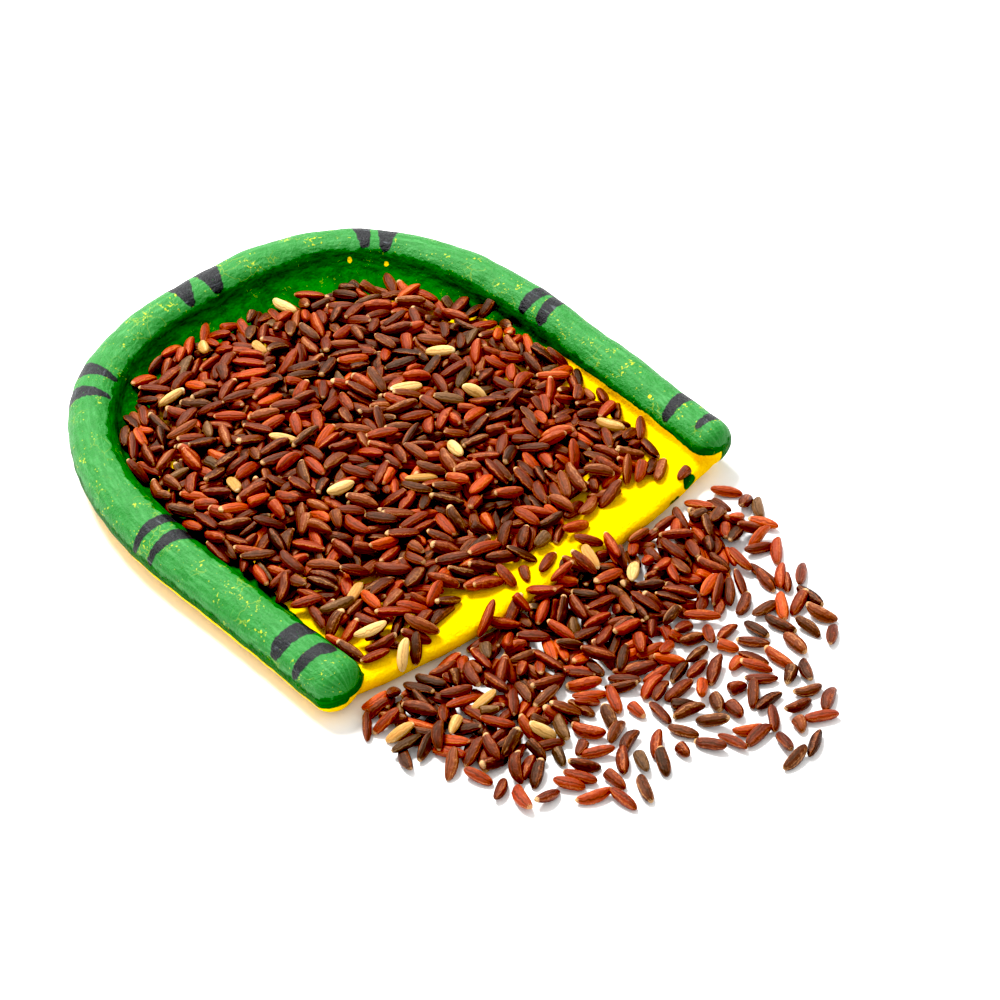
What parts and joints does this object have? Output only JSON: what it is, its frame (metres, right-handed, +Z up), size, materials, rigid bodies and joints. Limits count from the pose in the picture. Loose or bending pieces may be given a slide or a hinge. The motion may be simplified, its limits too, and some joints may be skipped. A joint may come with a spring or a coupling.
{
  "type": "rice heap in a clay winnowing tray",
  "caption": "Small hand-painted clay winnowing tray, green rolled rim and yellow open lip, heaped with red rice that has spilled in front of it.",
  "frame": {"origin": "bottom centre of the whole, on the surface that the tray and the spilled rice rest on", "axes": "+Z up, +Y from the open lip to the tray's closed back, +X to the right when the lip faces the viewer"},
  "size_m": [0.1032, 0.152, 0.0125],
  "materials": {
    "painted_clay": "hand-brushed enamel, green rim with black strokes, yellow floor, lip and underside",
    "rice": "dry red-brown bran with a dull sheen, a few cream grains among them"
  },
  "bodies": {
    "root": {"tray": "painted_clay", "rice_heap": "rice", "rice_spill": "rice"}
  },
  "joints": []
}
